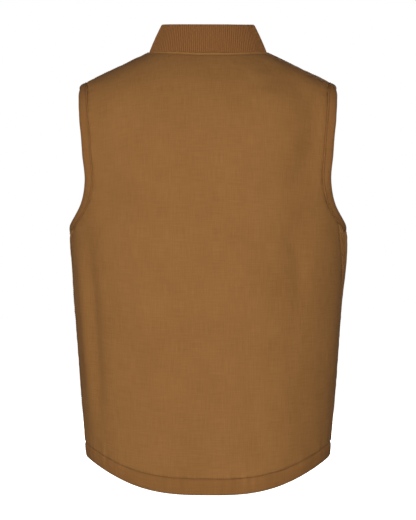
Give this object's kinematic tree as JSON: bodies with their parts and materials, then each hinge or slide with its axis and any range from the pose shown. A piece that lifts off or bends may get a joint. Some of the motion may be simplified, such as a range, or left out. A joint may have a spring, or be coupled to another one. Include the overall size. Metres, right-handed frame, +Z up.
{
  "type": "utility work vest",
  "caption": "Sleeveless work vest in thick duck canvas with a rib-knit stand collar, bound armholes, a dropped tail and a closed front zip.",
  "frame": {"origin": "midway between the two points where the shoulders meet the collar, where the vest rests on the wearer's shoulders", "axes": "+Z up, +Y towards the back, +X towards the wearer's left, the wearer faces -Y"},
  "size_m": [0.4503, 0.2741, 0.7562],
  "materials": {
    "duck_canvas": "matte brown cotton duck with a faint slub",
    "duck_band": "matte brown cotton duck, doubled and topstitched",
    "rib_knit": "matte brown rib knit",
    "zip_brass": "satin brass teeth on brown tape"
  },
  "bodies": {
    "root": {"back_panel": "duck_canvas", "front_panel_left": "duck_canvas", "front_panel_right": "duck_canvas", "rib_collar": "rib_knit", "armhole_band_left": "duck_band", "armhole_band_right": "duck_band", "back_hem_band": "duck_band", "front_hem_band_left": "duck_band", "front_hem_band_right": "duck_band", "front_zip": "zip_brass"}
  },
  "joints": []
}
